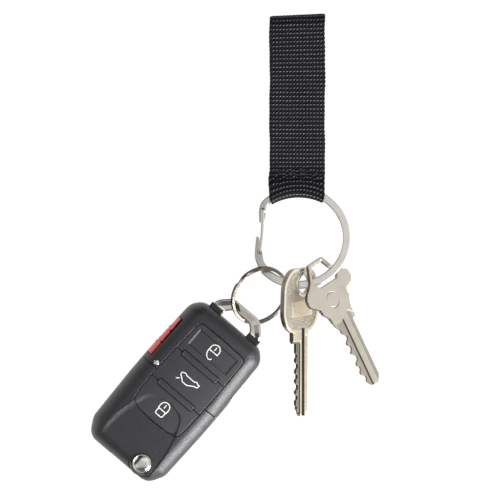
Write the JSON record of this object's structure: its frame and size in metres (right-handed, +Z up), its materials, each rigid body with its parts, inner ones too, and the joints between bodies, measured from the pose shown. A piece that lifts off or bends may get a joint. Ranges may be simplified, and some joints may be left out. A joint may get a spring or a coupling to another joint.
{
  "type": "key organiser",
  "caption": "Webbing hand loop with a gated metal ring that carries plain keys and, on a split ring, a folding remote key with press buttons.",
  "frame": {"origin": "middle of the footprint of the organiser as it lies flat, on the surface it lies on", "axes": "+Z up from the surface, +Y towards the top of the webbing hand loop, +X to the right when seen from above"},
  "size_m": [0.1158, 0.1863, 0.0202],
  "materials": {
    "webbing": "woven nylon",
    "thread": "twisted thread",
    "ring_steel": "satin",
    "wire_steel": "polished",
    "nickel": "nickel plated",
    "key_nickel": "worn nickel",
    "cover_plastic": "fine grain",
    "button_rubber": "fine grain",
    "symbol_ink": "printed",
    "alarm_rubber": "satin",
    "bail_chrome": "polished",
    "lens": "metallic",
    "board": "solder mask",
    "switch_metal": "stamped",
    "chip_plastic": "moulded",
    "cell_steel": "polished",
    "contact_brass": "stamped",
    "collar_plastic": "moulded",
    "spring_steel": "drawn",
    "blade_steel": "milled",
    "hub_metal": "cast"
  },
  "bodies": {
    "strap": {"webbing_loop": "webbing"},
    "strap_end": {"webbing_end": "webbing", "webbing_stitches": "thread"},
    "ring": {"ring_frame": "ring_steel"},
    "gate": {"gate_wire": "wire_steel"},
    "left_key": {"left_key": "key_nickel"},
    "right_key": {"right_key": "key_nickel"},
    "split_ring": {"split_ring": "nickel"},
    "remote": {"remote_cover_front": "cover_plastic", "remote_cover_back": "cover_plastic", "blade_housing_front": "cover_plastic", "blade_housing_back": "cover_plastic", "keypad_bars": "button_rubber", "keypad_mat": "button_rubber", "lamp_lens": "lens", "key_bail": "bail_chrome", "bail_collars": "collar_plastic", "circuit_board": "board", "tact_switches": "switch_metal", "board_chips": "chip_plastic", "coin_cell": "cell_steel", "cell_contact": "contact_brass", "transponder": "chip_plastic", "assembly_screw": "spring_steel", "flip_spring": "spring_steel", "release_spring": "spring_steel"},
    "unlock_button": {"unlock_button": "button_rubber", "unlock_symbol": "symbol_ink"},
    "boot_button": {"boot_button": "button_rubber", "boot_symbol": "symbol_ink"},
    "lock_button": {"lock_button": "button_rubber", "lock_symbol": "symbol_ink"},
    "alarm_button": {"alarm_button": "alarm_rubber"},
    "release_button": {"release_button": "bail_chrome"},
    "blade": {"blade_hub": "hub_metal", "folding_blade": "blade_steel", "blade_pin": "spring_steel"}
  },
  "joints": [
    {"name": "strap_bend", "type": "hinge", "parent": "strap", "child": "strap_end", "pos_m": [0.02465, 0.0322, 0.00155], "axis": [-1, 0, 0], "range_deg": [-45, 50]},
    {"name": "ring_turn", "type": "hinge", "parent": "strap_end", "child": "ring", "pos_m": [0.0252, 0.0044, 0.00645], "axis": [0, 0.1736, 0.9848], "range_deg": [0, 50]},
    {"name": "gate_open", "type": "hinge", "parent": "ring", "child": "gate", "pos_m": [0.0096, -0.00131, 0.00746], "axis": [0, -0.1736, -0.9848], "range_deg": [0, 24], "stiffness_Nm_per_rad": 0.03, "springref_deg": -5.73},
    {"name": "left_key_swing", "type": "hinge", "parent": "ring", "child": "left_key", "pos_m": [0.0268, -0.0141, 0.0098], "axis": [-1, 0, 0], "range_deg": [0, 28]},
    {"name": "right_key_slide", "type": "hinge", "parent": "ring", "child": "right_key", "pos_m": [0.0252, 0.0044, 0.00645], "axis": [0, 0.1736, 0.9848], "range_deg": [0, 40]},
    {"name": "split_ring_swing", "type": "hinge", "parent": "ring", "child": "split_ring", "pos_m": [0.015, -0.01037, 0.00906], "axis": [-0.9104, 0.4075, -0.0719], "range_deg": [0, 35]},
    {"name": "remote_swing", "type": "hinge", "parent": "split_ring", "child": "remote", "pos_m": [0.00304, -0.0256, 0.008], "axis": [-0.7604, 0.6494, 0], "range_deg": [0, 50]},
    {"name": "unlock_press", "type": "slide", "parent": "remote", "child": "unlock_button", "axis": [0, 0, -1], "range_m": [0, 0.0006], "stiffness_N_per_m": 900, "springref_m": -0.0004},
    {"name": "boot_press", "type": "slide", "parent": "remote", "child": "boot_button", "axis": [0, 0, -1], "range_m": [0, 0.0006], "stiffness_N_per_m": 900, "springref_m": -0.0004},
    {"name": "lock_press", "type": "slide", "parent": "remote", "child": "lock_button", "axis": [0, 0, -1], "range_m": [0, 0.0006], "stiffness_N_per_m": 900, "springref_m": -0.0004},
    {"name": "alarm_press", "type": "slide", "parent": "remote", "child": "alarm_button", "axis": [0.7604, -0.6494, 0], "range_m": [0, 0.0004], "stiffness_N_per_m": 900, "springref_m": -0.0004},
    {"name": "release_press", "type": "slide", "parent": "remote", "child": "release_button", "axis": [0, 0, -1], "range_m": [0, 0.0008], "stiffness_N_per_m": 1200, "springref_m": -0.0004, "deforming": ["release_spring"]},
    {"name": "blade_flip", "type": "hinge", "parent": "remote", "child": "blade", "pos_m": [-0.03723, -0.08537, 0.008], "axis": [0, 0, -1], "range_deg": [0, 180]}
  ]
}
